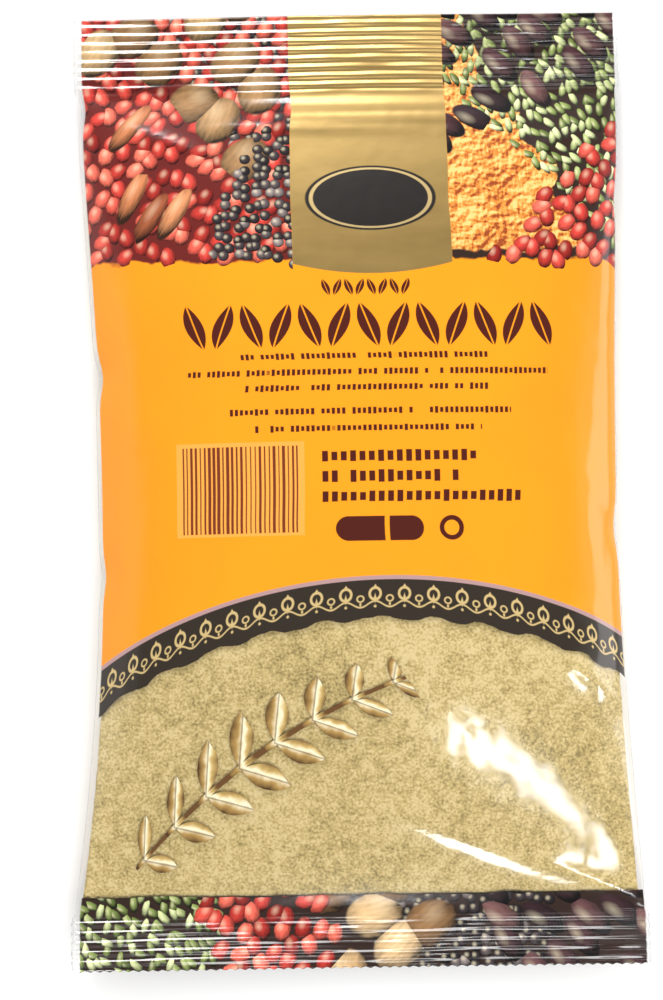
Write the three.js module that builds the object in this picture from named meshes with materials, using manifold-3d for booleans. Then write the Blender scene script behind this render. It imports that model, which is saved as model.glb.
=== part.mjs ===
// A sealed film pouch of ground spice, lying on its back. Millimetres.
// X is the width, Y runs up to the top seal, Z is up. The origin is on the table, under the pouch's middle.
import * as THREE from 'three';
import { mergeVertices } from 'three/addons/utils/BufferGeometryUtils.js';
import Module from 'manifold-3d';

// Driving dimensions of the closed pouch
const flatWidth = 120;
const pouchLength = 206;
const topSealDepth = 18;
const bottomSealDepth = 12;
const waistWidth = 110.6;
const waistY = -28;
const waistShift = 1.1; // the left side is drawn in further than the right one
const fillHeight = 15.6;
const sealLift = 5; // the flat seals hang this far above the table
const sideLift = 7; // height of the side folds at the waist

// Film and powder
const filmThickness = 0.5;
const sealedThickness = 0.8; // two films pressed together
const cavityEdge = 0.2; // the inside narrows to this at the side folds
const powderGap = 0.3;
const crimpPitch = 2;
const crimpHeight = 0.3;
const sealRoll = 0.5; // slow wave along each seal
const toothPitch = 2;
const toothDepth = 0.45;

// Lap seam down the back
const lapWidth = 10;
const lapGap = 0.3;
const lapPly = 0.3;
const lapFrom = -60;
const lapTo = 42;

// Grid over each face
const columns = 24;
const fillRows = 30;
const powderColumns = 20;
const powderSideInset = 2;
const rowsWithoutPowder = { bottom: 2, top: 3 }; // grid rows of the cavity that the powder doesn't reach

const halfLength = pouchLength / 2;
const fillTopY = halfLength - topSealDepth;
const fillBottomY = bottomSealDepth - halfLength;
const cavityRows = fillLines(fillRows, fillBottomY + 1, fillTopY - 1);

const wasm = await Module();
wasm.setup();

// Distance from the waist, 0 there and 1 where a seal starts
function reach(y) {
  const end = y > waistY ? fillTopY : fillBottomY;
  return Math.min(1, (y - waistY) / (end - waistY));
}

function plump(y) {
  return 1 - reach(y) ** 2.2;
}

// Small dents where the side folds buckle inwards
function sideDent(y, side) {
  const dents = side < 0
    ? [{ y: 82, depth: 0.9, spread: 4 }, { y: 22, depth: 0.9, spread: 4 }, { y: -21, depth: 0.6, spread: 4 }]
    : [{ y: 60, depth: 0.4, spread: 5 }, { y: -12, depth: 0.6, spread: 5 }];
  return dents.reduce((sum, dent) => sum + dent.depth * Math.exp(-(((y - dent.y) / dent.spread) ** 2)), 0);
}

// The side edge at a height y along the pouch, side is -1 on the left and 1 on the right
function sideX(y, side) {
  const narrowing = (flatWidth - waistWidth) / 2 * (1 - reach(y) ** 1.9);
  const shift = waistShift * plump(y);
  return side * (flatWidth / 2 - narrowing - sideDent(y, side)) + shift;
}

// Height of the surface midway between the two films, which the side folds and the seals follow
function middleZ(x, y) {
  const lift = sealLift + (sideLift - sealLift) * plump(y);
  return lift + sealRoll * reach(y) ** 6 * Math.sin(x / 19 + y / 60);
}

function crimpZ(y) {
  const depth = y > 0 ? y - fillTopY : fillBottomY - y;
  if (depth < crimpPitch / 4 || depth > (y > 0 ? topSealDepth : bottomSealDepth) - crimpPitch / 4) return 0;
  return crimpHeight * Math.cos(2 * Math.PI * depth / crimpPitch);
}

function frontZ(x, y, across, inset, edge) {
  const rise = Math.max(0, fillHeight - sideLift - sealedThickness / 2 - inset);
  const dome = (1 - across * across) ** 0.62;
  return middleZ(x, y) + crimpZ(y) + edge / 2 + rise * plump(y) * dome;
}

function backZ(x, y, across, inset, edge) {
  const belly = 10.6 * plump(y) * Math.sqrt(1 - across * across);
  const free = middleZ(x, y) + crimpZ(y) - edge / 2 - belly + inset;
  return Math.max(inset, Math.min(free, middleZ(x, y) + crimpZ(y) - edge / 2));
}

// A closed shape of two facing sheets on one grid, joined by a narrow rim
function pillow({ across, rows, inset, sideInset, edge }) {
  const position = [];
  const index = [];
  const sheetSize = (across + 1) * rows.length;
  for (const zAt of [frontZ, backZ]) {
    for (const y of rows) {
      for (let i = 0; i <= across; i += 1) {
        const spread = 2 * i / across - 1;
        const place = 0.45 * spread + 0.55 * Math.sin(spread * Math.PI / 2);
        const left = sideX(y, -1) + sideInset;
        const right = sideX(y, 1) - sideInset;
        const x = (left + right) / 2 + place * (right - left) / 2;
        position.push(x, y, zAt(x, y, Math.min(1, Math.abs(place)), inset, edge));
      }
    }
  }
  const at = (i, j, sheet) => sheet * sheetSize + j * (across + 1) + i;
  const quad = (a, b, c, d) => index.push(a, b, c, a, c, d);
  for (let j = 0; j < rows.length - 1; j += 1) {
    for (let i = 0; i < across; i += 1) {
      quad(at(i, j, 0), at(i + 1, j, 0), at(i + 1, j + 1, 0), at(i, j + 1, 0));
      quad(at(i, j, 1), at(i, j + 1, 1), at(i + 1, j + 1, 1), at(i + 1, j, 1));
    }
    quad(at(0, j, 1), at(0, j, 0), at(0, j + 1, 0), at(0, j + 1, 1));
    quad(at(across, j, 0), at(across, j, 1), at(across, j + 1, 1), at(across, j + 1, 0));
  }
  const last = rows.length - 1;
  for (let i = 0; i < across; i += 1) {
    quad(at(i, 0, 1), at(i + 1, 0, 1), at(i + 1, 0, 0), at(i, 0, 0));
    quad(at(i, last, 0), at(i + 1, last, 0), at(i + 1, last, 1), at(i, last, 1));
  }
  const geometry = new THREE.BufferGeometry();
  geometry.setAttribute('position', new THREE.Float32BufferAttribute(position, 3));
  geometry.setIndex(index);
  return geometry;
}

// Rows of the grid, close together near the seals
function fillLines(count, from, to) {
  return Array.from({ length: count + 1 }, (_, n) => {
    const s = 2 * n / count - 1;
    return from + (to - from) * (0.7 * s + 0.3 * Math.sin(s * Math.PI / 2) + 1) / 2;
  });
}

function crimpLines(from, depth) {
  const step = crimpPitch / 2;
  const count = Math.round(depth / step);
  return Array.from({ length: count }, (_, n) => from + n * step);
}

function toSolid(geometry) {
  const bare = geometry.clone();
  bare.deleteAttribute('normal');
  bare.deleteAttribute('uv');
  const merged = mergeVertices(bare, 1e-4);
  const vertProperties = Float32Array.from(merged.attributes.position.array);
  const triVerts = Uint32Array.from(merged.index.array);
  return new wasm.Manifold(new wasm.Mesh({ numProp: 3, vertProperties, triVerts }));
}

function toGeometry(solid) {
  const mesh = solid.getMesh();
  const geometry = new THREE.BufferGeometry();
  geometry.setAttribute('position', new THREE.BufferAttribute(mesh.vertProperties, 3));
  geometry.setIndex(new THREE.BufferAttribute(mesh.triVerts, 1));
  return geometry;
}

// A straight bar along Y with the given outline in X and Z
function barAlongY(points, from, to) {
  const outline = new THREE.Shape(points.map(([x, z]) => new THREE.Vector2(x, z)));
  const bar = new THREE.ExtrudeGeometry(outline, { depth: to - from, bevelEnabled: false });
  bar.rotateX(Math.PI / 2);
  bar.translate(0, to, 0);
  return bar;
}

// The knife's zig-zag: a comb of notches cut out of the bottom end
function cutComb() {
  const teeth = flatWidth / toothPitch;
  const clear = toothPitch * 2;
  const points = [[flatWidth / 2 + clear, -clear], [-flatWidth / 2 - clear, -clear]];
  for (let n = -1; n <= teeth; n += 1) {
    const x = n * toothPitch - flatWidth / 2;
    points.push([x, 0], [x + toothPitch / 2, toothDepth]);
  }
  points.push([flatWidth / 2 + clear, 0]);
  const outline = new THREE.Shape(points.map(([x, y]) => new THREE.Vector2(x, y - halfLength)));
  return new THREE.ExtrudeGeometry(outline, { depth: fillHeight, bevelEnabled: false });
}

function makeFilm() {
  const outerRows = [
    ...crimpLines(-halfLength, bottomSealDepth),
    ...fillLines(fillRows, fillBottomY, fillTopY),
    ...crimpLines(fillTopY, topSealDepth).slice(1),
    halfLength,
  ];
  const outer = toSolid(pillow({ across: columns, rows: outerRows, inset: 0, sideInset: 0, edge: sealedThickness }));
  const cavity = toSolid(pillow({
    across: columns, rows: cavityRows, inset: filmThickness, sideInset: filmThickness * 1.4, edge: cavityEdge,
  }));

  // The seam's two plies lie flat on the table, with the sealing line between them left open
  const half = lapWidth / 2;
  const seamHeight = 2 * lapPly + lapGap;
  const seam = toSolid(barAlongY([[-half - 1, -1], [half + 1, -1], [half + 1, seamHeight], [-half - 1, seamHeight]],
    lapFrom - 1, lapTo + 1));
  const openLine = toSolid(barAlongY([
    [half, -1], [half + lapGap, -1], [half + lapGap, lapPly + lapGap], [lapGap - half, lapPly + lapGap],
    [lapGap - half, seamHeight + 1], [-half, seamHeight + 1], [-half, lapPly], [half, lapPly],
  ], lapFrom, lapTo));
  const hollow = cavity.subtract(seam);
  return toGeometry(outer.subtract(hollow).subtract(openLine).subtract(toSolid(cutComb())));
}

function makePowder() {
  const inset = filmThickness + powderGap;
  const rows = cavityRows.slice(rowsWithoutPowder.bottom, -rowsWithoutPowder.top);
  const heap = toSolid(pillow({
    across: powderColumns, rows, inset, sideInset: powderSideInset, edge: cavityEdge / 2,
  }));
  const clearance = lapWidth / 2 + 1 + powderGap;
  const seamHeight = 2 * lapPly + lapGap + powderGap;
  const groove = toSolid(barAlongY(
    [[-clearance, -1], [clearance, -1], [clearance, seamHeight], [-clearance, seamHeight]],
    lapFrom - 2, lapTo + 2,
  ));
  return toGeometry(heap.subtract(groove));
}

const pouch = new THREE.Group();

const film = new THREE.Mesh(
  makeFilm(),
  new THREE.MeshStandardMaterial({ color: 0xf08a1c, roughness: 0.22, metalness: 0 }),
);
film.name = 'film_pouch';

const powder = new THREE.Mesh(
  makePowder(),
  new THREE.MeshStandardMaterial({ color: 0xa39a6e, roughness: 0.95, metalness: 0 }),
);
powder.name = 'ground_spice';

pouch.add(film, powder);

export default pouch;
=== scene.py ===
import math

import bpy
from mathutils import Matrix, Vector, noise


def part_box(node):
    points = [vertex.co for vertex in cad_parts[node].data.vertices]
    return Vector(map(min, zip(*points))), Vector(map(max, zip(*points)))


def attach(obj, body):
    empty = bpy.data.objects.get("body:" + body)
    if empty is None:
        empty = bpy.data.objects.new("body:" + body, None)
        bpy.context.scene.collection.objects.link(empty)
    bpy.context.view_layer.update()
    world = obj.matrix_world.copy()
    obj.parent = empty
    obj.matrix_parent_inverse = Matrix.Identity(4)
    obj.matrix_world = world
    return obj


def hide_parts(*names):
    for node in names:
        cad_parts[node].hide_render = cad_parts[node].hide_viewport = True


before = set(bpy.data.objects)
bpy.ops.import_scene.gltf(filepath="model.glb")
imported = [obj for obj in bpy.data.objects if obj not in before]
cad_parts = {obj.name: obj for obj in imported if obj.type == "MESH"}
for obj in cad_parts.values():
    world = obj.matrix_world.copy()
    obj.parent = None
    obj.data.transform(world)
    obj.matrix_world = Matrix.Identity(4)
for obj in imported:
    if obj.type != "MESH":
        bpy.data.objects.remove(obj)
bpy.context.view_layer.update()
bpy.ops.object.select_all(action="DESELECT")

mm = 0.001
solveScale = 10  # cloth is solved at ten times life size, where the solver's own margins are small
solveUnit = mm * solveScale
webSpan = 250  # the unrolled web sits in a square of this many millimetres in its map
near = 0.1  # two places closer than this many millimetres count as one

filmLow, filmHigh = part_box("film_pouch")

# Shape of the closed pouch, in millimetres
pouch = {
    "width": (filmHigh.x - filmLow.x) / mm,
    "length": (filmHigh.y - filmLow.y) / mm,
    "height": (filmHigh.z - filmLow.z) / mm,
    "topSeal": 18,
    "bottomSeal": 12,
    "waistWidth": 110.6,
    "waistY": -28,
    "waistShift": 1.1,
    "sealLift": 5,
    "sideLift": 7,
    "sealRoll": 0.5,  # height of a slow wave along each seal
    "rollPower": 6,
    "rollSize": (19, 60),
    "leftDents": [(82, 0.9, 4), (22, 0.9, 4), (-21, 0.6, 4)],  # place along the side, depth, spread
    "rightDents": [(60, 0.4, 5), (-12, 0.6, 5)],
    "cell": 2,
    "sheetGap": 0.2,
    "slack": 1.5,  # how much longer the flat web is towards each end
    "fullPower": 2.2,  # powers with which the filling and the drawn-in sides fade towards the seals
    "sidePower": 1.9,
    "crowding": 0.12,  # the sheets crowd towards the side folds where the pouch is full
    "frontPower": 0.62,
    "backBelly": 10.6,
}

# How the film is solved as cloth
filmCloth = {
    "frames": 18,
    "quality": 8,
    "mass": 0.02,
    "stretch": 80,
    "shear": 40,
    "bending": 0.5,
    "stretchDamping": 20,
    "shearDamping": 10,
    "bendingDamping": 0.5,
    "airDamping": 3,
    "pressure": 1.2,
    "tableGap": 0.002,
    "tableWidths": 8,
    "rounding": 1.1,  # the side folds draw in by this much as they round
    "roundingPowers": (8, 2),  # above the waist and below it
}

# Marks pressed into the film by the sealing jaws and the knife, in millimetres
crimp = {
    "pitch": 2.0,
    "lean": 0.4,  # the outer flank of each ridge is the longer one
    "topHeight": 0.27,
    "bottomHeight": 0.33,
    "wander": 0.5,
    "wanderSize": (34, 60),  # sizes across and along the pouch
    "wear": (0.8, 0.6),  # middle and swing of how much of a ridge is left
    "wearSize": (14, 3),
    "crinkle": 0.18,
    "crinkleSize": (6.5, 2.6),
    "fade": (1.5, 0.8),  # the ridges fade over this depth at the filling and at the cut end
    "toothDepth": 0.45,
    "lapHalfWidth": 5,
    "lapStep": 0.16,
}

foldCrest = 0.35  # millimetres by which a fold's crest is rounded
foldEnds = 0.7  # power with which a fold rises from its ends

# Straight folds standing up from the front: both ends, height, and how far each flank reaches
folds = [
    ((2, -70), (46, -86.5), 0.85, 10, 1.7),
    ((38, -82), (59, -90), 0.6, 2.0, 1.6),
    ((43, -39.5), (59, -50), 1.4, 3.6, 3.3),
    ((42, -30.8), (52.5, -30), 0.4, 1.4, 0.9),
    ((-26, 82.6), (26, 82), 0.3, 0.9, 0.7),
    ((-20, 79.6), (30, 79), 0.26, 0.8, 0.8),
    ((-34, 77), (16, 76.4), 0.2, 0.9, 0.7),
    ((-50, 78), (-30, 70), 0.4, 2.0, 1.4),
    ((52, 77), (36, 68), 0.3, 2.0, 1.6),
]

powderShape = {
    "filmGap": 0.4,
    "topEnd": 66.4,
    "bottomEnd": -88.4,
    "sideGap": 1.6,
    "grain": 0.12,
    "grainSizes": (0.9, 2.7),
}

halfLength = pouch["length"] / 2
fillTop = halfLength - pouch["topSeal"]
fillBottom = pouch["bottomSeal"] - halfLength


def reach(y):
    # 0 at the waist and 1 where a seal starts
    end = fillTop if y > pouch["waistY"] else fillBottom
    return min(1, (y - pouch["waistY"]) / (end - pouch["waistY"]))


def plump(y):
    return 1 - reach(y) ** pouch["fullPower"]


def sideX(y, side):
    # a side fold's place across the pouch, side is -1 on the left and 1 on the right
    narrowing = (pouch["width"] - pouch["waistWidth"]) / 2 * (1 - reach(y) ** pouch["sidePower"])
    dents = pouch["leftDents"] if side < 0 else pouch["rightDents"]
    dent = sum(depth * math.exp(-((y - place) / spread) ** 2) for place, depth, spread in dents)
    return side * (pouch["width"] / 2 - narrowing - dent) + pouch["waistShift"] * plump(y)


def middleZ(x, y):
    # height of the side folds and the seals above the table
    lift = pouch["sealLift"] + (pouch["sideLift"] - pouch["sealLift"]) * plump(y)
    across, along = pouch["rollSize"]
    return lift + pouch["sealRoll"] * reach(y) ** pouch["rollPower"] * math.sin(x / across + y / along)


def filledPlace(x, y, front):
    # where a point of the flat front or back comes to lie in the filled pouch, before the cloth is solved
    across = x / (pouch["width"] / 2)
    full = plump(y)
    crowding = pouch["crowding"] * full
    across = across * (1 - crowding) + crowding * math.sin(across * math.pi / 2)
    upper, lower = filmCloth["roundingPowers"]
    rounding = filmCloth["rounding"] * (1 - reach(y) ** (upper if y > pouch["waistY"] else lower))
    left, right = sideX(y, -1) - rounding, sideX(y, 1) + rounding
    place = (left + right) / 2 + across * (right - left) / 2
    middle = middleZ(place, y)
    if abs(x) > pouch["width"] / 2 - near or abs(y) > halfLength - near:
        return place, y, middle
    edge = max(0, 1 - across * across)
    if front:
        crown = (pouch["height"] - pouch["sideLift"]) * full * edge ** pouch["frontPower"]
        return place, y, middle + pouch["sheetGap"] / 2 + crown
    return place, y, max(0, middle - pouch["sheetGap"] / 2 - pouch["backBelly"] * full * math.sqrt(edge))


def editAll(thing):
    bpy.ops.object.select_all(action="DESELECT")
    bpy.context.view_layer.objects.active = thing
    thing.select_set(True)
    bpy.ops.object.mode_set(mode="EDIT")
    bpy.ops.mesh.select_all(action="SELECT")


def objectMode():
    bpy.ops.object.mode_set(mode="OBJECT")


def selectEdges(thing, wanted):
    # leaves edit mode on, with the wanted edges selected; wanted is told both ends of an edge
    editAll(thing)
    bpy.ops.mesh.select_mode(type="EDGE")
    bpy.ops.mesh.select_all(action="DESELECT")
    objectMode()
    points = thing.data.vertices
    for edge in thing.data.edges:
        edge.select = wanted(points[edge.vertices[0]].co, points[edge.vertices[1]].co)
    bpy.ops.object.mode_set(mode="EDIT")


# The film: two sheets laid on each other and welded round their rims
def layFlatFilm():
    gap = pouch["sheetGap"] * mm
    bpy.ops.mesh.primitive_grid_add(
        x_subdivisions=round(pouch["width"] / pouch["cell"]),
        y_subdivisions=round(pouch["length"] / pouch["cell"]),
        size=1, location=(0, 0, gap / 2))
    film = bpy.context.object
    film.name = film.data.name = "printedFilm"
    film.scale = (pouch["width"] * mm, pouch["length"] * mm, 1)
    bpy.ops.object.transform_apply(location=True, rotation=True, scale=True)
    editAll(film)
    bpy.ops.mesh.duplicate()
    bpy.ops.transform.translate(value=(0, 0, -gap))
    bpy.ops.mesh.flip_normals()
    bpy.ops.mesh.select_mode(type="VERT")
    bpy.ops.mesh.select_all(action="DESELECT")
    bpy.ops.mesh.select_non_manifold(extend=False)
    bpy.ops.mesh.remove_doubles(threshold=gap * 1.1)
    objectMode()
    return film


def mapWeb(film):
    # the printed web unrolled in millimetres: front in the middle, half of the back on either side
    webMap = film.data.uv_layers.new(name="web")
    film.data.uv_layers.active = webMap
    points = film.data.vertices
    for face in film.data.polygons:
        turn = math.copysign(pouch["width"], face.center.x)
        for loop in face.loop_indices:
            place = points[film.data.loops[loop].vertex_index].co
            x = place.x / mm
            if face.normal.z < 0:
                x = turn - x
            webMap.data[loop].uv = (x / webSpan + 0.5, place.y / mm / webSpan + 0.5)


def fillFilm(film):
    # the filled form is the start, and the flat web gives the lengths that the film keeps
    film.shape_key_add(name="filled")
    flat = film.shape_key_add(name="flat")
    filled = film.data.shape_keys.key_blocks["filled"]
    for point, start, rest in zip(film.data.vertices, filled.data, flat.data):
        x, y = point.co.x / mm, point.co.y / mm
        front = point.co.z > 0
        start.co = Vector(filledPlace(x, y, front)) * solveUnit
        slack = pouch["slack"] * y / halfLength
        rest.co = Vector((x, y + slack, pouch["sideLift"] + point.co.z / mm)) * solveUnit
        point.co = start.co
    return flat


def solveFilm(film, flat):
    # the seals are held, the sheets between them swell and settle on a table
    sealed = film.vertex_groups.new(name="sealed")
    inSeal = [point.index for point in film.data.vertices
              if not fillBottom + near < point.co.y / solveUnit < fillTop - near]
    sealed.add(inSeal, 1, "REPLACE")
    bpy.ops.object.select_all(action="DESELECT")
    bpy.ops.mesh.primitive_plane_add(size=filmCloth["tableWidths"] * pouch["width"] * solveUnit)
    table = bpy.context.object
    table.modifiers.new("table", "COLLISION")
    table.collision.thickness_outer = filmCloth["tableGap"]
    cloth = film.modifiers.new("film", "CLOTH")
    rule = cloth.settings
    rule.rest_shape_key = flat
    rule.quality = filmCloth["quality"]
    rule.mass = filmCloth["mass"]
    rule.tension_stiffness = rule.compression_stiffness = filmCloth["stretch"]
    rule.shear_stiffness = filmCloth["shear"]
    rule.bending_model = "ANGULAR"
    rule.bending_stiffness = filmCloth["bending"]
    rule.tension_damping = rule.compression_damping = filmCloth["stretchDamping"]
    rule.shear_damping = filmCloth["shearDamping"]
    rule.bending_damping = filmCloth["bendingDamping"]
    rule.air_damping = filmCloth["airDamping"]
    rule.use_pressure = True
    rule.uniform_pressure_force = filmCloth["pressure"]
    rule.vertex_group_mass = sealed.name
    cloth.collision_settings.distance_min = filmCloth["tableGap"]
    cloth.point_cache.frame_start = 1
    cloth.point_cache.frame_end = filmCloth["frames"]
    for step in range(1, filmCloth["frames"] + 1):
        bpy.context.scene.frame_set(step)
    return table


def keepSolved(film, table):
    bpy.ops.object.select_all(action="DESELECT")
    bpy.context.view_layer.objects.active = film
    film.select_set(True)
    bpy.ops.object.convert(target="MESH")
    if table:
        bpy.data.objects.remove(table)
        bpy.context.scene.frame_set(1)
    film.data.transform(Matrix.Scale(1 / solveScale, 4))
    film.vertex_groups.clear()


def refineFilm(film):
    # more rows in the seals, so that the crimped ridges come out round
    def alongInSeal(a, b):
        middle = (a.y + b.y) / 2 / mm
        return abs(a.y - b.y) > abs(a.x - b.x) and not fillBottom < middle < fillTop

    selectEdges(film, alongInSeal)
    bpy.ops.mesh.subdivide(number_cuts=2)
    objectMode()

    def sealRim(a, b):
        # the cut ends, and the side folds where they run through the seals
        cell = pouch["cell"]
        ends = min(abs(a.y), abs(b.y)) / mm > halfLength - near
        beyondFilling = not fillBottom - cell / 2 < (a.y + b.y) / 2 / mm < fillTop + cell / 2
        lastColumn = min(abs(a.x), abs(b.x)) / mm > pouch["width"] / 2 - cell - 2 * near
        lengthways = abs(a.x - b.x) / mm < cell / 4
        return ends or (beyondFilling and lastColumn and lengthways)

    selectEdges(film, sealRim)
    bpy.ops.transform.edge_crease(value=1)
    objectMode()
    finer = film.modifiers.new("finer", "SUBSURF")
    finer.levels = finer.render_levels = 1
    finer.uv_smooth = "NONE"
    finer.boundary_smooth = "PRESERVE_CORNERS"
    bpy.ops.object.modifier_apply(modifier=finer.name)


def webPlaces(film):
    # each point's place on the flat front or back, in millimetres, with True for the front
    places = {}
    webMap = film.data.uv_layers["web"].data
    for loop in film.data.loops:
        u, v = webMap[loop.index].uv
        x, y = (u - 0.5) * webSpan, (v - 0.5) * webSpan
        front = abs(x) < pouch["width"] / 2 - near
        places[loop.vertex_index] = (x if front else math.copysign(pouch["width"], x) - x, y, front)
    return places


def foldRise(x, y):
    rise = 0
    for (startX, startY), (endX, endY), height, above, below in folds:
        runX, runY = endX - startX, endY - startY
        length = math.hypot(runX, runY)
        along = ((x - startX) * runX + (y - startY) * runY) / length ** 2
        if not 0 < along < 1:
            continue
        off = ((y - startY) * runX - (x - startX) * runY) / length * math.copysign(1, runX)
        flank = above if off > 0 else below
        full = (4 * along * (1 - along)) ** foldEnds
        rise += height * full * math.exp(-(math.hypot(off, foldCrest) - foldCrest) / flank)
    return rise


def crimpRise(x, y):
    # how far the jaws lift a point of a seal; 3.1, 7.7 and 1.3 only keep the three noises apart
    depth = y - fillTop if y > 0 else fillBottom - y
    full = pouch["topSeal"] if y > 0 else pouch["bottomSeal"]
    if depth <= 0:
        return 0
    across, along = crimp["wanderSize"]
    wander = crimp["wander"] * noise.noise(Vector((x / across, 3.1, y / along)))
    turn = 2 * math.pi * (depth + wander) / crimp["pitch"]
    ridge = math.cos(turn + crimp["lean"] * math.cos(turn))
    middle, swing = crimp["wear"]
    across, along = crimp["wearSize"]
    worn = middle + swing * noise.noise(Vector((x / across, y / along, 7.7)))
    across, along = crimp["crinkleSize"]
    crinkle = crimp["crinkle"] * noise.noise(Vector((x / across, y / along, 1.3)))
    inner, outer = crimp["fade"]
    fade = min(1, depth / inner) * min(1, (full - depth) / outer + 0.2)
    height = crimp["topHeight"] if y > 0 else crimp["bottomHeight"]
    return (height * ridge * worn + crinkle) * fade


def pressFilm(film):
    # crimped ridges, crinkles between them, folds, the toothed cut and the lap down the back
    for index, (x, y, front) in webPlaces(film).items():
        point = film.data.vertices[index]
        rise = crimpRise(x, y)
        if front:
            rise += foldRise(x, y)
        elif abs(x) < crimp["lapHalfWidth"] + near:
            rise -= crimp["lapStep"]
        point.co.z += rise * mm
        if y < near - halfLength and round(x) % 2:
            point.co.y += crimp["toothDepth"] * mm
    lowest = min(point.co.z for point in film.data.vertices)
    film.data.transform(Matrix.Translation((0, 0, -lowest)))


def smoothShaded(thing):
    bpy.ops.object.select_all(action="DESELECT")
    bpy.context.view_layer.objects.active = thing
    thing.select_set(True)
    bpy.ops.object.shade_smooth()
    thing.data.update()


def makeFilm():
    film = layFlatFilm()
    mapWeb(film)
    flat = fillFilm(film)
    table = solveFilm(film, flat)
    keepSolved(film, table)
    refineFilm(film)
    pressFilm(film)
    smoothShaded(film)
    return film


# The powder fills the film, so it starts as a copy of the film's own shape
def makePowder(film):
    powder = film.copy()
    powder.data = film.data.copy()
    powder.name = powder.data.name = "groundSpice"
    bpy.context.scene.collection.objects.link(powder)
    places = webPlaces(powder)
    side = pouch["width"] / 2 - powderShape["sideGap"]
    low, high = powderShape["bottomEnd"], powderShape["topEnd"]
    editAll(powder)
    bpy.ops.mesh.select_mode(type="VERT")
    bpy.ops.mesh.select_all(action="DESELECT")
    objectMode()
    for point in powder.data.vertices:
        x, y, front = places[point.index]
        point.select = not low <= y <= high or abs(x) > side
    bpy.ops.object.mode_set(mode="EDIT")
    bpy.ops.mesh.delete(type="VERT")
    bpy.ops.mesh.select_all(action="SELECT")
    bpy.ops.transform.shrink_fatten(value=-powderShape["filmGap"] * mm)
    bpy.ops.mesh.select_all(action="DESELECT")
    bpy.ops.mesh.select_non_manifold(extend=False)
    bpy.ops.mesh.bridge_edge_loops()
    objectMode()
    outward = [point.normal.copy() for point in powder.data.vertices]
    fine, coarse = powderShape["grainSizes"]
    for point, normal in zip(powder.data.vertices, outward):
        grain = noise.noise(point.co / (fine * mm)) + noise.noise(point.co / (coarse * mm))
        point.co -= normal * abs(grain) * powderShape["grain"] * mm
    smoothShaded(powder)
    return powder


class Value:
    # a number in a shader: sums written with it add its Math nodes
    def __init__(self, paint, socket):
        self.paint = paint
        self.socket = socket

    def does(self, operation, *others):
        return self.paint.value("Math", {"operation": operation}, [self, *others])

    def __add__(self, other):
        return self.does("ADD", other)

    def __radd__(self, other):
        return self.does("ADD", other)

    def __sub__(self, other):
        return self.does("SUBTRACT", other)

    def __rsub__(self, other):
        return self.paint.value("Math", {"operation": "SUBTRACT"}, [other, self])

    def __mul__(self, other):
        return self.does("MULTIPLY", other)

    def __rmul__(self, other):
        return self.does("MULTIPLY", other)

    def __truediv__(self, other):
        return self.does("DIVIDE", other)

    def __pow__(self, other):
        return self.does("POWER", other)

    def __neg__(self):
        return self.does("MULTIPLY", -1)

    def __abs__(self):
        return self.does("ABSOLUTE")

    def least(self, *others):
        found = self
        for other in others:
            found = found.does("MINIMUM", other)
        return found

    def most(self, *others):
        found = self
        for other in others:
            found = found.does("MAXIMUM", other)
        return found

    def inside(self, blur=0.14):
        # 1 where the value is above 0 and 0 where it is below, with a soft edge
        settings = {"operation": "MULTIPLY_ADD", "use_clamp": True}
        return self.paint.value("Math", settings, [self, 1 / blur, 0.5])


class Paint:
    def __init__(self, name):
        self.material = bpy.data.materials.new(name)
        self.material.use_nodes = True
        self.tree = self.material.node_tree
        self.tree.nodes.clear()

    def node(self, kind, settings=(), sockets=()):
        made = self.tree.nodes.new("ShaderNode" + kind)
        for name, value in dict(settings).items():
            setattr(made, name, value)
        pairs = sockets.items() if isinstance(sockets, dict) else enumerate(sockets)
        for key, value in pairs:
            if isinstance(value, Value):
                value = value.socket
            if isinstance(value, bpy.types.NodeSocket):
                self.tree.links.new(value, made.inputs[key])
            else:
                made.inputs[key].default_value = value
        return made

    def value(self, kind, settings=(), sockets=(), output=0):
        return Value(self, self.node(kind, settings, sockets).outputs[output])

    def vector(self, x, y, z=0.0):
        return self.node("CombineXYZ", (), [x, y, z]).outputs[0]

    def vectorMath(self, operation, *sockets):
        return self.node("VectorMath", {"operation": operation}, sockets).outputs[0]

    def parts(self, vector):
        made = self.node("SeparateXYZ", (), [vector])
        return Value(self, made.outputs[0]), Value(self, made.outputs[1])

    def turned(self, vector, angle):
        sockets = {"Vector": vector, "Angle": angle}
        return self.node("VectorRotate", {"rotation_type": "Z_AXIS"}, sockets).outputs[0]

    def noise(self, vector, size, detail=2.0, seed=0.0, dimensions="2D"):
        if seed:
            vector = self.vectorMath("ADD", vector, (seed * size, seed * size * 1.7, 0))
        return self.value("TexNoise", {"noise_dimensions": dimensions},
                          {"Vector": vector, "Scale": 1 / size, "Detail": detail})

    def ramp(self, value, tones):
        # tones are pairs of a place along the ramp and a colour
        made = self.node("ValToRGB", (), [value])
        while len(made.color_ramp.elements) < len(tones):
            made.color_ramp.elements.new(0.5)
        for element, (place, colour) in zip(made.color_ramp.elements, tones):
            element.position = place
            element.color = (*colour, 1)
        return made.outputs[0]

    def over(self, under, colour, mask):
        # one ink laid over another where the mask is 1
        return self.node("Mix", {"data_type": "RGBA", "clamp_factor": True},
                         {0: mask, 6: filled(under), 7: filled(colour)}).outputs[2]

    def mixed(self, mask, first, second):
        # the first shader where the mask is 0, the second where it is 1
        return self.node("MixShader", (), [mask, first, second]).outputs[0]

    def finish(self, shader):
        self.node("OutputMaterial", (), {"Surface": shader})
        return self.material


def filled(value):
    return (*value, 1) if isinstance(value, tuple) and len(value) == 3 else value


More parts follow.
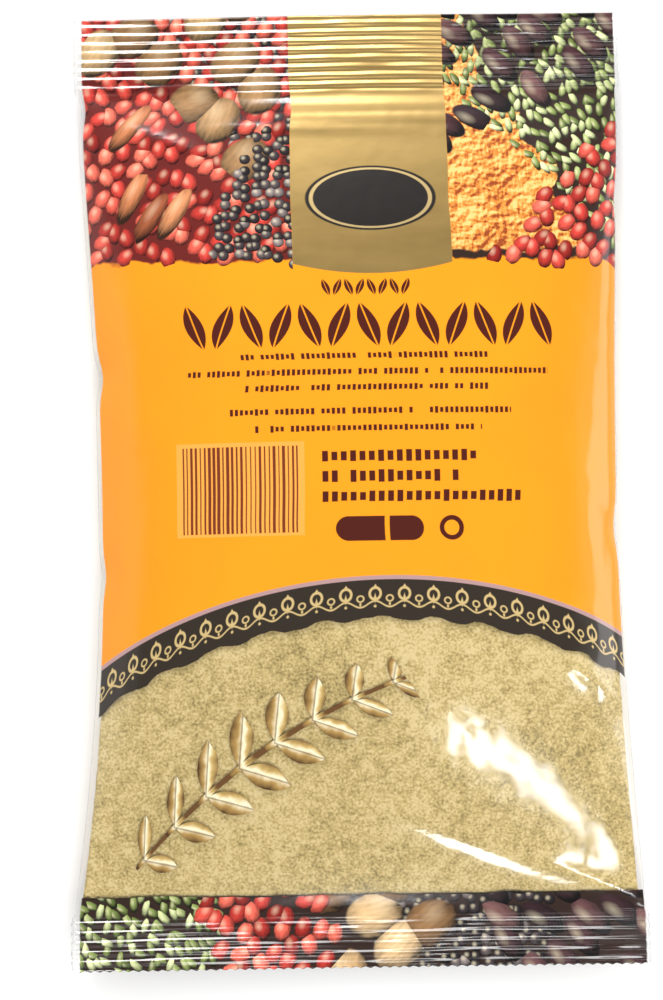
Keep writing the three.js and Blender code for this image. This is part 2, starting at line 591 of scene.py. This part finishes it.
inks = {
    "orange": (0.90, 0.315, 0.010),
    "orangeDeep": (0.88, 0.275, 0.010),
    "maroon": (0.07, 0.010, 0.005),
    "barInk": (0.17, 0.032, 0.010),
    "codeGround": (0.90, 0.37, 0.06),
    "mauve": (0.42, 0.26, 0.25),
    "bandDark": (0.030, 0.022, 0.015),
    "lace": (0.56, 0.41, 0.18),
    "goldPale": (0.465, 0.31, 0.105),
    "goldDeep": (0.30, 0.195, 0.057),
    "plaque": (0.022, 0.018, 0.016),
    "cream": (0.86, 0.76, 0.52),
    "berryGround": (0.13, 0.014, 0.011),
    "pictureGround": (0.030, 0.015, 0.011),
}

# Where each thing is printed on the flat front, in millimetres from its middle
layout = {
    "pictureEdge": 46,
    "pictureRagged": 5,  # how far the pictures' lower edge strays
    "pictureStart": 38,  # nothing of the pictures lies lower than this
    "stripEdge": -88,
    "panel": (-12.6, 21.2, 45.1),  # left, right and lower end of the gold panel
    "panelBow": 2.4,
    "plaque": (4.5, 60, 14, 7.5),  # middle across and along, half width, half height
    "smallTitle": (2.6, 39.7, 9.6, 1.9, 2.4),  # middle, height, half width, half height, pitch
    "title": (3.0, 31.3, 40.3, 5.0, 6.2),
    "typeSize": 1.5,
    "smallType": [(24.5, -24.8, 53), (21.0, -36.7, 78), (17.6, -23.8, 52),  # height, left end, width
                  (12.5, -28.1, 61), (8.8, -21.6, 48)],
    "dateSize": 2.7,
    "datePrint": [(2.8, -7.8, 33), (-1.5, -7.8, 33), (-5.8, -7.8, 43)],
    "weight": (4.6, -12.6, 6.6, 2.6),  # middle, height, half width, half height
    "code": (-37.5, -12.5, -13.2, 5.2),  # left, right, lower and upper end
    "codeMargin": (1.4, 0.6, 0.9),  # of the paler ground beside, under and above the bars
    "barPitch": 1.0,
    "barWidth": (0.12, 0.26),  # least half width, and what chance adds to it
    "arc": (-22.6, 0.051, -0.00425),  # height at the middle, slope and bend of the window's edge
    "bandWidth": 8.9,
    "scallop": (11.5, 0.5),  # length and depth of the waves on the band's lower edge
    "leftMargin": 1.8,
    "rightMargin": 0.8,
    "backMargin": 6,
}

# Loose seeds as they are printed. Lengths are in millimetres. Short and long are half the seed's size
seeds = {
    "pepper": {
        "cell": 2.3, "stretch": 1.0, "scatter": 0.8, "turn": 0.0, "spread": 0.0,
        "short": 1.2, "long": 1.2, "gleam": 0.5,
        "tones": [(0.0, (0.016, 0.012, 0.014)), (0.7, (0.06, 0.045, 0.05)), (1.0, (0.28, 0.23, 0.22))],
    },
    "berry": {
        "cell": 3.4, "stretch": 1.25, "scatter": 0.7, "turn": 0.5, "spread": 1.8,
        "short": 1.7, "long": 2.4, "gleam": 0.4,
        "tones": [(0.0, (0.26, 0.014, 0.010)), (0.5, (0.66, 0.055, 0.04)), (1.0, (0.95, 0.19, 0.12))],
    },
    "leaf": {
        "cell": 1.8, "stretch": 1.8, "scatter": 0.85, "turn": -0.4, "spread": 1.7,
        "short": 0.78, "long": 2.0, "gleam": 0.5,
        "tones": [(0.0, (0.10, 0.14, 0.03)), (0.5, (0.27, 0.34, 0.10)), (1.0, (0.68, 0.74, 0.38))],
    },
    "bean": {
        "cell": 10, "stretch": 1.2, "scatter": 0.45, "turn": 0.9, "spread": 1.2,
        "short": 4.6, "long": 5.9, "gleam": 0.2,
        "tones": [(0.0, (0.22, 0.11, 0.045)), (0.6, (0.48, 0.28, 0.12)), (1.0, (0.78, 0.54, 0.28))],
    },
    "pod": {
        "cell": 5.8, "stretch": 2.0, "scatter": 0.6, "turn": -0.8, "spread": 0.6,
        "short": 2.4, "long": 5.0, "gleam": 0.3,
        "tones": [(0.0, (0.022, 0.010, 0.013)), (0.6, (0.07, 0.028, 0.032)), (1.0, (0.17, 0.08, 0.075))],
    },
    "chip": {
        "cell": 4.8, "stretch": 2.9, "scatter": 0.5, "turn": 0.5, "spread": 0.3,
        "short": 2.1, "long": 6.8, "gleam": 0.25,
        "tones": [(0.0, (0.26, 0.06, 0.025)), (0.5, (0.56, 0.20, 0.08)), (1.0, (0.85, 0.46, 0.22))],
    },
}

# How each part of a seed adds to its light
seedLight = {"dome": 0.75, "side": 0.4, "skin": 0.8, "base": -0.1, "least": 0.05}

# What lies where in the printed pictures, lowest first. A heap lies on the side of each line (a, b, c)
# where a * x + b * y + c is above 0
pictures = {
    "left": [
        ("pepper", [(1, 0.5, -10)]),
        ("berry", [(-1, 0, -12), (0, 1, -47)]),
        ("bean", [(0.9, 1, -46), (-1, 0, -19)]),
        ("chip", [(-1, -0.5, -9), (1, 0.1, 44), (0, 1, -50)]),
        ("pepper", [(1, -0.5, 58), (0, -1, 77), (1, 0, 30), (0, 1, -46)]),
    ],
    "right": [
        ("leaf", [(1, 1, -108)]),
        ("pod", [(-1, 1.4, -74), (0, 1, -60)]),
        ("berry", [(1, -0.9, 12), (0, 1, -45)]),
    ],
    "strip": [
        ("pepper", [(1, 0.4, 36), (-1, 0, 40)]),
        ("leaf", [(-1, 0.3, 0)]),
        ("bean", [(-1, 0.4, 60), (1, 0, 8)]),
        ("berry", [(1, 0.3, 60), (-1, -0.3, -34)]),
        ("pod", [(1, 0.3, 0)]),
    ],
}


def seedLayer(paint, under, place, look, lines):
    # each seed sits in its own cell, is lit from the upper left and is drawn whole or not at all
    spun = paint.turned(place, look["turn"])
    scale = (look["cell"], look["cell"] * look["stretch"], 1)
    cells = paint.node("TexVoronoi", {"voronoi_dimensions": "2D"}, {
        "Vector": paint.vectorMath("DIVIDE", spun, scale), "Scale": 1.0, "Randomness": look["scatter"]})
    middle = paint.turned(paint.vectorMath("MULTIPLY", cells.outputs["Position"], scale), -look["turn"])
    off = paint.vectorMath("SUBTRACT", place, middle)
    dice = paint.node("SeparateColor", (), [cells.outputs["Color"]])
    lean = (Value(paint, dice.outputs[0]) - 0.5) * look["spread"] + look["turn"]
    own = paint.vectorMath("DIVIDE", paint.turned(off, lean), (look["short"], look["long"], 1))
    radius = paint.value("VectorMath", {"operation": "LENGTH"}, [own], "Value")
    dome = 1 - radius * radius
    side = paint.value("VectorMath", {"operation": "DOT_PRODUCT"},
                       [off, (-0.5 / look["short"], 0.8 / look["short"], 0)], "Value")
    skin = paint.noise(paint.vectorMath("MULTIPLY", own, (2.6, 0.9, 1)), 0.5, 2.0, 3.0)
    light = dome * seedLight["dome"] + side * seedLight["side"] + skin * seedLight["skin"]
    light = (light + seedLight["base"]).most(seedLight["least"])
    tone = paint.ramp(Value(paint, dice.outputs[1]), look["tones"])
    tone = paint.node("VectorMath", {"operation": "SCALE"}, {"Vector": tone, "Scale": light}).outputs[0]
    spot = paint.vectorMath("ADD", own, (0.3, -0.3, 0))
    gleam = 0.3 - paint.value("VectorMath", {"operation": "LENGTH"}, [spot], "Value")
    tone = paint.over(tone, inks["cream"], gleam.inside(0.5) * look["gleam"])
    x, y = paint.parts(middle)
    sides = [x * a + y * b + c for a, b, c in lines]
    kept = sides[0].least(*sides[1:])
    return paint.over(under, tone, dome.inside(0.2) * kept.inside(0.01))


golden = {
    "grain": 1.7,
    "cloud": 7,
    "step": (0.35, -0.45, 0),  # away from the light
    "tones": [(0.2, (0.30, 0.06, 0.015)), (0.45, (0.68, 0.23, 0.04)), (0.62, (0.80, 0.34, 0.07)),
              (0.85, (0.96, 0.56, 0.19))],
}


def goldenPowder(paint, place):
    # a heap of loose powder, lit from the upper left like the seeds
    step = paint.vectorMath("ADD", place, golden["step"])
    relief = paint.noise(place, golden["grain"], 4.0) - paint.noise(step, golden["grain"], 4.0)
    tone = relief * 2.0 + paint.noise(place, golden["cloud"], 3.0, 2.0) * 0.9 + 0.1
    return paint.ramp(tone, golden["tones"])


def heaps(paint, under, place, name):
    for kind, lines in pictures[name]:
        under = seedLayer(paint, under, place, seeds[kind], lines)
    return under


def orangeGround(paint, place, x):
    # deeper towards the sides, a painted shade for the film curving away there, with faint clouds
    shadeFrom, shadeOver, cloud = 26, 34, 24
    # painted shade: the orange deepens where the film curves down at the sides; the clouds are uneven ink
    sideShade = (abs(x) - shadeFrom) / shadeOver
    cloudsAndSideShade = paint.noise(place, cloud, 3.0, 8.0) - 0.4 + sideShade.most(0)
    return paint.over(inks["orange"], inks["orangeDeep"], cloudsAndSideShade)


podInk = {
    "lean": 0.36,
    "width": 0.33,  # half of a pod and half of the slit down it, as shares of the pitch
    "slit": 0.028,
}


def podRow(x, y, spot):
    # plain pods in a row, leaning left and right in turn
    middle, height, halfWidth, halfHeight, pitch = spot
    run = (x - middle + halfWidth) / pitch
    count = run.does("FLOOR")
    lean = (count.does("MODULO", 2) * 2 - 1) * podInk["lean"]
    v = y - height
    across = (run - count - 0.5) * pitch - v * lean
    pod = pitch * podInk["width"] * (1 - (v / halfHeight) ** 2.0) - abs(across)
    return pod.least(abs(across) - pitch * podInk["slit"], halfWidth - abs(x - middle)).inside()


# Grey type, as shares of its size
typeInk = {
    "pitch": 0.72,
    "stroke": 0.23,
    "tall": (0.28, 0.22),  # least half height, and what chance adds to it
    "gaps": 0.14,  # share of the blocks that are left out between words
}


def typeRows(paint, x, y, rows, size):
    # rows of grey type: blocks of uneven width with gaps between words, and no letters
    boxes, offsets, steps = [], [], []
    for height, left, width in rows:
        off = abs(y - height)
        offsets.append(off)
        boxes.append((size - off).least(x - left, left + width - x))
        steps.append(y.does("GREATER_THAN", height - size))
    off, box = offsets[0].least(*offsets[1:]), boxes[0].most(*boxes[1:])
    pitch = size * typeInk["pitch"]
    cell = (x / pitch).does("FLOOR")
    blockPlace = paint.vector(cell, sum(steps[1:], steps[0]))
    dice = paint.value("TexWhiteNoise", {"noise_dimensions": "2D"}, {"Vector": blockPlace})
    least, chance = typeInk["tall"]
    tall = size * least + dice * size * chance - off
    stroke = size * typeInk["stroke"] - abs(x - (cell + 0.5) * pitch)
    word = (dice - typeInk["gaps"]) * 20
    return tall.least(stroke, word, box).inside()


def weightMark(x, y):
    # a plain rounded block with a gap in it, and a ring beside it
    middle, height, half, radius = layout["weight"]
    gapPlace, halfGap = 1.5, 0.5
    ringPlace, halfStroke = 8.5, 0.5
    v = y - height
    block = radius - ((abs(x - middle) - half).most(0) ** 2.0 + v * v).does("SQRT")
    gap = abs(x - middle - gapPlace) - halfGap
    ringX = x - middle - half - ringPlace
    ring = halfStroke - abs((ringX * ringX + v * v).does("SQRT") - radius + halfStroke)
    return block.least(gap).most(ring).inside()


def barCode(paint, x, y):
    # bars of random width that code nothing, on a paler ground
    left, right, low, high = layout["code"]
    pitch = layout["barPitch"]
    run = x / pitch
    cell = run.does("FLOOR")
    dice = paint.value("TexWhiteNoise", {"noise_dimensions": "1D"}, {"W": cell})
    least, chance = layout["barWidth"]
    bar = (dice * chance + least - abs(run - cell - 0.5)) * pitch
    bars = bar.least(x - left, right - x, y - low, high - y).inside()
    beside, under, above = layout["codeMargin"]
    ground = (x - left + beside).least(right + beside - x, y - low + under, high + above - y).inside()
    return ground, bars


def fieldInk(paint, under, x, y):
    # everything printed on the orange between the picture and the window
    maroon = podRow(x, y, layout["smallTitle"]).most(podRow(x, y, layout["title"]))
    maroon = maroon.most(typeRows(paint, x, y, layout["smallType"], layout["typeSize"]), weightMark(x, y))
    maroon = maroon.most(typeRows(paint, x, y, layout["datePrint"], layout["dateSize"]))
    ground, bars = barCode(paint, x, y)
    colour = paint.over(under, inks["codeGround"], ground)
    colour = paint.over(colour, inks["maroon"], maroon)
    return paint.over(colour, inks["barInk"], bars)


def arcPlace(x, y):
    # how far below the window's edge a point is, and how far along it
    top, slope, bend = layout["arc"]
    summit = -slope / (2 * bend)
    fromSummit = x - summit
    edge = top - slope * slope / (4 * bend) + bend * fromSummit * fromSummit
    steep = fromSummit * (2 * bend)
    down = (edge - y) / (steep * steep + 1).does("SQRT")
    along = fromSummit + fromSummit * fromSummit * fromSummit * (2 * bend * bend / 3)
    return down, along


# The lace on the band: how far down from the band's upper edge each part lies, its half stroke and its size
lace = {
    "pitch": 6.08,
    "garland": (5.9, 0.18, 0.62),
    "tulip": (3.75, 0.27, 1.22),
    "point": (2.3, 0.36, 0.7),
    "stem": (4.7, 0.3, 0.3),
    "dot": (6.35, 0.28),
    "bud": (4.75, 0.17, 0.68),
    "budStem": (5.9, 0.25, 0.45),
    "mauveEdge": 0.85,
}


def lacePattern(along, down):
    # a garland with a tulip on each peak and a small bud over each dip
    pitch = lace["pitch"]
    turn = along / pitch
    u = (turn - turn.does("FLOOR") - 0.5) * pitch
    wide = abs(u)
    side = pitch / 2 - wide

    def ring(part, beside, squash):
        depth, stroke, radius = lace[part]
        across, above = squash
        out = (beside * beside * across + (down - depth) ** 2.0 * above).does("SQRT")
        return stroke - abs(out - radius)

    def spike(part, beside):
        depth, stroke, taper = lace[part]
        return stroke - (beside + abs(down - depth) * taper)

    depth, stroke, swing = lace["garland"]
    garland = stroke - abs(down - depth + (u * (2 * math.pi / pitch)).does("COSINE") * swing)
    depth, radius = lace["dot"]
    dot = radius - (u * u + (down - depth) ** 2.0).does("SQRT")
    tulip = ring("tulip", u, (1.15, 1)).most(spike("point", wide), spike("stem", wide))
    bud = ring("bud", side, (1, 1.2)).most(spike("budStem", side))
    return garland.most(tulip, dot, bud).inside(0.2)


def bandInk(paint, along, down):
    colour = paint.over(inks["mauve"], inks["bandDark"], (down - lace["mauveEdge"]).inside())
    return paint.over(colour, inks["lace"], lacePattern(along, down))


sprigShape = {
    "start": (-47, -82),
    "turn": 0.60,  # radians up from the foot of the pouch
    "length": 68,
    "bow": 0.0040,
    "pitch": 9.0,
    "leafLength": 5.6,  # half of a leaf
    "leafWidth": 2.5,
    "stemWidth": 0.62,
    "vein": 0.16,
    "tones": [(0.12, (0.07, 0.03, 0.01)), (0.36, (0.42, 0.26, 0.08)), (0.56, (0.95, 0.85, 0.58)),
              (0.70, (0.55, 0.38, 0.13)), (0.92, (0.13, 0.06, 0.02))],
}


def sprig(paint, place):
    # a gold stem with pairs of leaves, bowed from the window's lower left up to the right
    shape = sprigShape
    fromStart = paint.vectorMath("SUBTRACT", place, (*shape["start"], 0))
    x, y = paint.parts(paint.turned(fromStart, -shape["turn"]))
    length, pitch = shape["length"], shape["pitch"]
    fromMiddle = x - length / 2
    off = y + fromMiddle * fromMiddle * shape["bow"] - shape["bow"] * length * length / 4
    size = 1.05 - abs(fromMiddle) / length * 0.9
    run = x / pitch
    local = (run - run.does("FLOOR") - 0.25) * pitch
    wide = abs(off)
    cosine, sine = 0.78, 0.62  # of the angle between a leaf and the stem
    leafAlong = wide * cosine + local * sine
    leafAcross = local * cosine - wide * sine
    tip = (leafAlong - size * shape["leafLength"] - 0.5) / (size * shape["leafLength"])
    leaf = size * shape["leafWidth"] * (1 - tip * tip) - abs(leafAcross)
    stem = size * shape["stemWidth"] - wide
    body = stem.most(leaf).least(x, length - x)
    bright = leafAcross / size * 0.15 + 0.5 + paint.noise(place, 3, 2.0, 6.0) * 0.3 - 0.15
    tone = paint.ramp(bright, shape["tones"])
    vein = (shape["vein"] - abs(leafAcross)).inside(0.2)
    return paint.over(tone, inks["pictureGround"], vein * 0.6), body.inside()


def goldPanel(paint, place, x, y):
    # plain gold foil with a painted sheen, paler towards its top end and in streaks, bowed at its lower
    # end, with an empty dark oval on it
    left, right, end = layout["panel"]
    middle, half = (left + right) / 2, (right - left) / 2
    bow = (x - middle) * (x - middle) / (half * half) * layout["panelBow"]
    mask = (half - abs(x - middle)).least(y - end + layout["panelBow"] - bow).inside()
    creased = paint.vectorMath("MULTIPLY", place, (0.25, 1, 1))
    sheen = paint.noise(creased, 5, 4.0, 2.0)
    # painted sheen: paler towards the top end and in streaks along the crinkles, over the foil's own
    # metallic shine
    paintedSheen = (y - end) / (halfLength - end) * 0.8 + sheen * 0.8 - 0.25
    gold = paint.over(inks["goldDeep"], inks["goldPale"], paintedSheen)
    plaqueX, plaqueY, wide, high = layout["plaque"]
    oval = 1 - ((x - plaqueX) / wide) ** 2.0 - ((y - plaqueY) / high) ** 2.0
    gold = paint.over(gold, inks["plaque"], oval.inside(0.05))
    return paint.over(gold, inks["lace"], (0.055 - abs(oval - 0.17)).inside(0.03)), mask


backPrint = {
    "middle": -29,  # of each cream panel, from the middle of the back
    "half": 20,
    "low": -55,
    "high": 58,
    "margin": (3, 2.5),  # left clear round the type, across and along
    "rowPitch": 3.1,
    "rowHeight": 1.5,
    "rowShift": 7.3,  # moves each row along, so that no two rows are alike
    "typeSize": 1.2,
    "paragraph": 7,  # every so many rows one is left out
    "ends": (-7.5, 80.5),  # middle and half length of what lies between the dark ends
}


def backInk(paint, place, web, y):
    # the back carries the same ground, with a cream panel of grey type on each side of the lap, and a thin
    # painted shadow along the lap's edge
    x = abs(web) - pouch["width"]
    off = abs(x - backPrint["middle"])
    half, low, high = backPrint["half"], backPrint["low"], backPrint["high"]
    panel = (half - off).least(y - low, high - y).inside()
    pitch = backPrint["rowPitch"]
    row = (y / pitch).does("FLOOR")
    endless = [(backPrint["rowHeight"], -2000, 4000)]
    typeX, typeY = web + row * backPrint["rowShift"], y - row * pitch
    typed = typeRows(paint, typeX, typeY, endless, backPrint["typeSize"])
    across, along = backPrint["margin"]
    kept = abs(row.does("MODULO", backPrint["paragraph"])) - 0.5
    typed = typed * (half - across - off).least(y - (low + along), high - along - y, kept).inside()
    fromLap = x + crimp["lapHalfWidth"]
    ground = orangeGround(paint, place, x + pouch["width"] / 4)
    colour = paint.over(ground, inks["orangeDeep"], fromLap.inside())
    # a thin painted shadow along the edge of the upper ply of the lap
    lapEdgeShadow = (0.16 - abs(fromLap)).least(web).inside()
    colour = paint.over(colour, inks["barInk"], lapEdgeShadow * 0.6)
    colour = paint.over(colour, inks["cream"], panel)
    colour = paint.over(colour, inks["maroon"], typed)
    middle, half = backPrint["ends"]
    return paint.over(colour, inks["bandDark"], (abs(y - middle) - half).inside())


def printed(paint, colour, relief, metallic=0.0, roughness=0.13):
    return paint.node("BsdfPrincipled", (), {
        "Base Color": colour, "Metallic": metallic, "Roughness": roughness,
        "Normal": relief.outputs[0]}).outputs[0]


def clearFilm(paint, relief):
    # bare film: clear, and shinier the flatter it is looked at
    gloss = paint.node("BsdfGlossy", (), {
        "Color": (1, 1, 1, 1), "Roughness": 0.12, "Normal": relief.outputs[0]})
    clear = paint.node("BsdfTransparent", (), {"Color": (0.99, 0.99, 0.985, 1)})
    glance = paint.value("LayerWeight", (), {"Blend": 0.5, "Normal": relief.outputs[0]}, "Facing")
    return paint.mixed(glance ** 5.0 * 0.9 + 0.06, clear.outputs[0], gloss.outputs[0])


def filmMaterial():
    paint = Paint("printedFilm")
    u, v = paint.parts(paint.node("UVMap", {"uv_map": "web"}).outputs[0])
    x = (u - 0.5) * webSpan
    y = (v - 0.5) * webSpan
    place = paint.vector(x, y)
    wobble = paint.noise(place, 9, 3.0) - 0.5
    ripple = paint.noise(place, 5, 2.0, 3.0)
    relief = paint.node("Bump", (), {"Strength": 0.12, "Distance": 0.3 * mm, "Height": ripple})
    orange = orangeGround(paint, place, x)

    down, along = arcPlace(x, y)
    picture = (y - layout["pictureEdge"] - wobble * layout["pictureRagged"]).inside(0.5)
    leftGround = paint.over(orange, inks["berryGround"], picture)
    rightGround = paint.over(orange, inks["pictureGround"], picture)
    # the golden heap ends towards the upper right and at its foot, both ragged
    heapEdge, heapFoot = y * -0.5 + wobble * 16 - x + 76, y - 48 - wobble * 8
    heap = heapEdge.least(heapFoot).inside(0.6)
    rightGround = paint.over(rightGround, goldenPowder(paint, place), heap)
    panel, panelMask = goldPanel(paint, place, x, y)
    strip = layout["stripEdge"] - y + wobble * 1.5
    sprigInk, sprigMask = sprig(paint, place)

    shader = printed(paint, fieldInk(paint, orange, x, y), relief)
    shader = paint.mixed(down.inside(), shader, printed(paint, bandInk(paint, along, down), relief))
    leftPicture = printed(paint, heaps(paint, leftGround, place, "left"), relief)
    fromStart = y - layout["pictureStart"]
    shader = paint.mixed(fromStart.least(layout["panel"][0] - x).inside(), shader, leftPicture)
    rightPicture = printed(paint, heaps(paint, rightGround, place, "right"), relief)
    shader = paint.mixed(fromStart.least(x - layout["panel"][1]).inside(), shader, rightPicture)
    shader = paint.mixed(panelMask, shader, printed(paint, panel, relief, 0.6, 0.34))
    stripInk = printed(paint, heaps(paint, inks["pictureGround"], place, "strip"), relief)
    shader = paint.mixed(strip.inside(), shader, stripInk)
    shader = paint.mixed(sprigMask, shader, printed(paint, sprigInk, relief))
    half = pouch["width"] / 2
    back = (abs(x) - half).inside()
    shader = paint.mixed(back, shader, printed(paint, backInk(paint, place, x, y), relief))

    # the window under the band and the strips beside the side folds carry no ink
    length, depth = layout["scallop"]
    wave = (along / length * 2 * math.pi + wobble * 5).does("SINE")
    window = (down - layout["bandWidth"] - wave * depth).least(-strip).inside()
    opaque = (1 - window).most(sprigMask, back)
    margin = (abs(x + half) - layout["leftMargin"]).least(abs(x - half) - layout["rightMargin"])
    halfMargin = layout["backMargin"] / 2
    margin = margin.least(abs(abs(x) - half - halfMargin) - halfMargin)
    return paint.finish(paint.mixed(opaque * margin.inside(0.3), clearFilm(paint, relief), shader))


powderTones = [(0.27, (0.26, 0.195, 0.072)), (0.38, (0.42, 0.32, 0.125)), (0.50, (0.555, 0.42, 0.17)),
               (0.62, (0.69, 0.55, 0.275))]


def powderMaterial():
    paint = Paint("groundSpice")
    place = paint.vectorMath("DIVIDE", paint.node("TexCoord").outputs["Object"], (mm, mm, mm))
    fine = paint.noise(place, 0.55, 4.0, 0, "3D")
    clumps = paint.noise(place, 2.6, 4.0, 2.0, "3D")
    drift = paint.noise(place, 22, 2.0, 5.0, "3D")
    colour = paint.ramp(fine * 0.9 + clumps * 0.5 + drift * 0.3 - 0.35, powderTones)
    relief = paint.node("Bump", (), {"Strength": 0.6, "Distance": 0.35 * mm, "Height": fine + clumps})
    grains = paint.node("BsdfPrincipled", (), {
        "Base Color": colour, "Roughness": 0.9, "Specular IOR Level": 0.2, "Normal": relief.outputs[0]})
    return paint.finish(grains.outputs[0])


def dress(thing, material):
    thing.data.materials.clear()
    thing.data.materials.append(material)


# The room: a white floor, soft lights and the camera
camera = {
    "target": (-4.61, -4.98, 5),
    "distance": 450,
    "tilt": 8.14,  # degrees off straight down, towards the foot of the pouch
    "roll": -0.91,
    "lens": 75.86,
}

# Name, place and aim in millimetres, width, length, watts, and how much of it lights matt surfaces
lamps = [
    ("keyStrip", (153, -168, 430), (36, -117, 0), 26, 140, 0.26, 0.5),
    ("topWindow", (-105, 700, 300), (-50, 95, 0), 190, 400, 6, 0.15),
    ("footWindow", (50, -640, 430), (30, -80, 0), 220, 150, 1.5, 0.5),
    ("cornerCard", (350, -315, 460), (50, -45, 10), 180, 90, 0.8, 0.3),
    ("sideWindow", (950, 100, 360), (0, 0, 0), 500, 400, 1.7, 1),
]

# The white tent's light, by how far up it is, as the inputs of a Map Range node
tent = {"From Min": 0.64, "From Max": 0.86, "To Min": 1.01, "To Max": 0.27}
floorSize = 6


def makeRoom():
    bpy.ops.mesh.primitive_plane_add(size=floorSize)
    floor = bpy.context.object
    floor.name = "floor"
    paint = Paint("floor")
    white = paint.node("BsdfPrincipled", (), {"Base Color": (0.95, 0.945, 0.94, 1), "Roughness": 0.8})
    dress(floor, paint.finish(white.outputs[0]))
    world = bpy.data.worlds.new("room")
    bpy.context.scene.world = world
    world.use_nodes = True
    # the tent is darker straight above, so that the film's front stays clear
    nodes, links = world.node_tree.nodes, world.node_tree.links
    ramp = nodes.new("ShaderNodeMapRange")
    ramp.interpolation_type = "SMOOTHSTEP"
    for name, value in tent.items():
        ramp.inputs[name].default_value = value
    split = nodes.new("ShaderNodeSeparateXYZ")
    links.new(nodes.new("ShaderNodeTexCoord").outputs["Generated"], split.inputs[0])
    links.new(split.outputs["Z"], ramp.inputs["Value"])
    links.new(ramp.outputs["Result"], nodes["Background"].inputs["Strength"])
    nodes["Background"].inputs["Color"].default_value = (1, 1, 1, 1)


def makeLamps():
    for name, place, aim, width, length, watts, matt in lamps:
        bpy.ops.object.light_add(type="AREA", location=Vector(place) * mm)
        lamp = bpy.context.object
        lamp.name = name
        lamp.data.shape = "RECTANGLE"
        lamp.data.size = width * mm
        lamp.data.size_y = length * mm
        lamp.data.energy = watts
        lamp.data.diffuse_factor = matt
        lamp.rotation_euler = (Vector(aim) - Vector(place)).to_track_quat("-Z", "Y").to_euler()


def makeCamera():
    tilt = Matrix.Rotation(math.radians(camera["tilt"]), 4, "X")
    turn = tilt @ Matrix.Rotation(math.radians(camera["roll"]), 4, "Z")
    place = Vector(camera["target"]) * mm + tilt.to_3x3() @ Vector((0, 0, camera["distance"] * mm))
    bpy.ops.object.camera_add()
    eye = bpy.context.object
    eye.matrix_world = Matrix.Translation(place) @ turn
    eye.data.lens = camera["lens"]
    eye.data.clip_start = 0.01
    bpy.context.scene.camera = eye


makeCamera()
makeRoom()
makeLamps()
bpy.context.scene.view_settings.view_transform = "Standard"
print("room and camera done")

film = makeFilm()
print("film shaped", len(film.data.polygons), "faces")
powder = makePowder(film)
print("powder shaped", len(powder.data.polygons), "faces")

dress(film, filmMaterial())
dress(powder, powderMaterial())
print("materials done")

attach(film, "root")
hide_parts("film_pouch")
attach(powder, "root")
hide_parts("ground_spice")
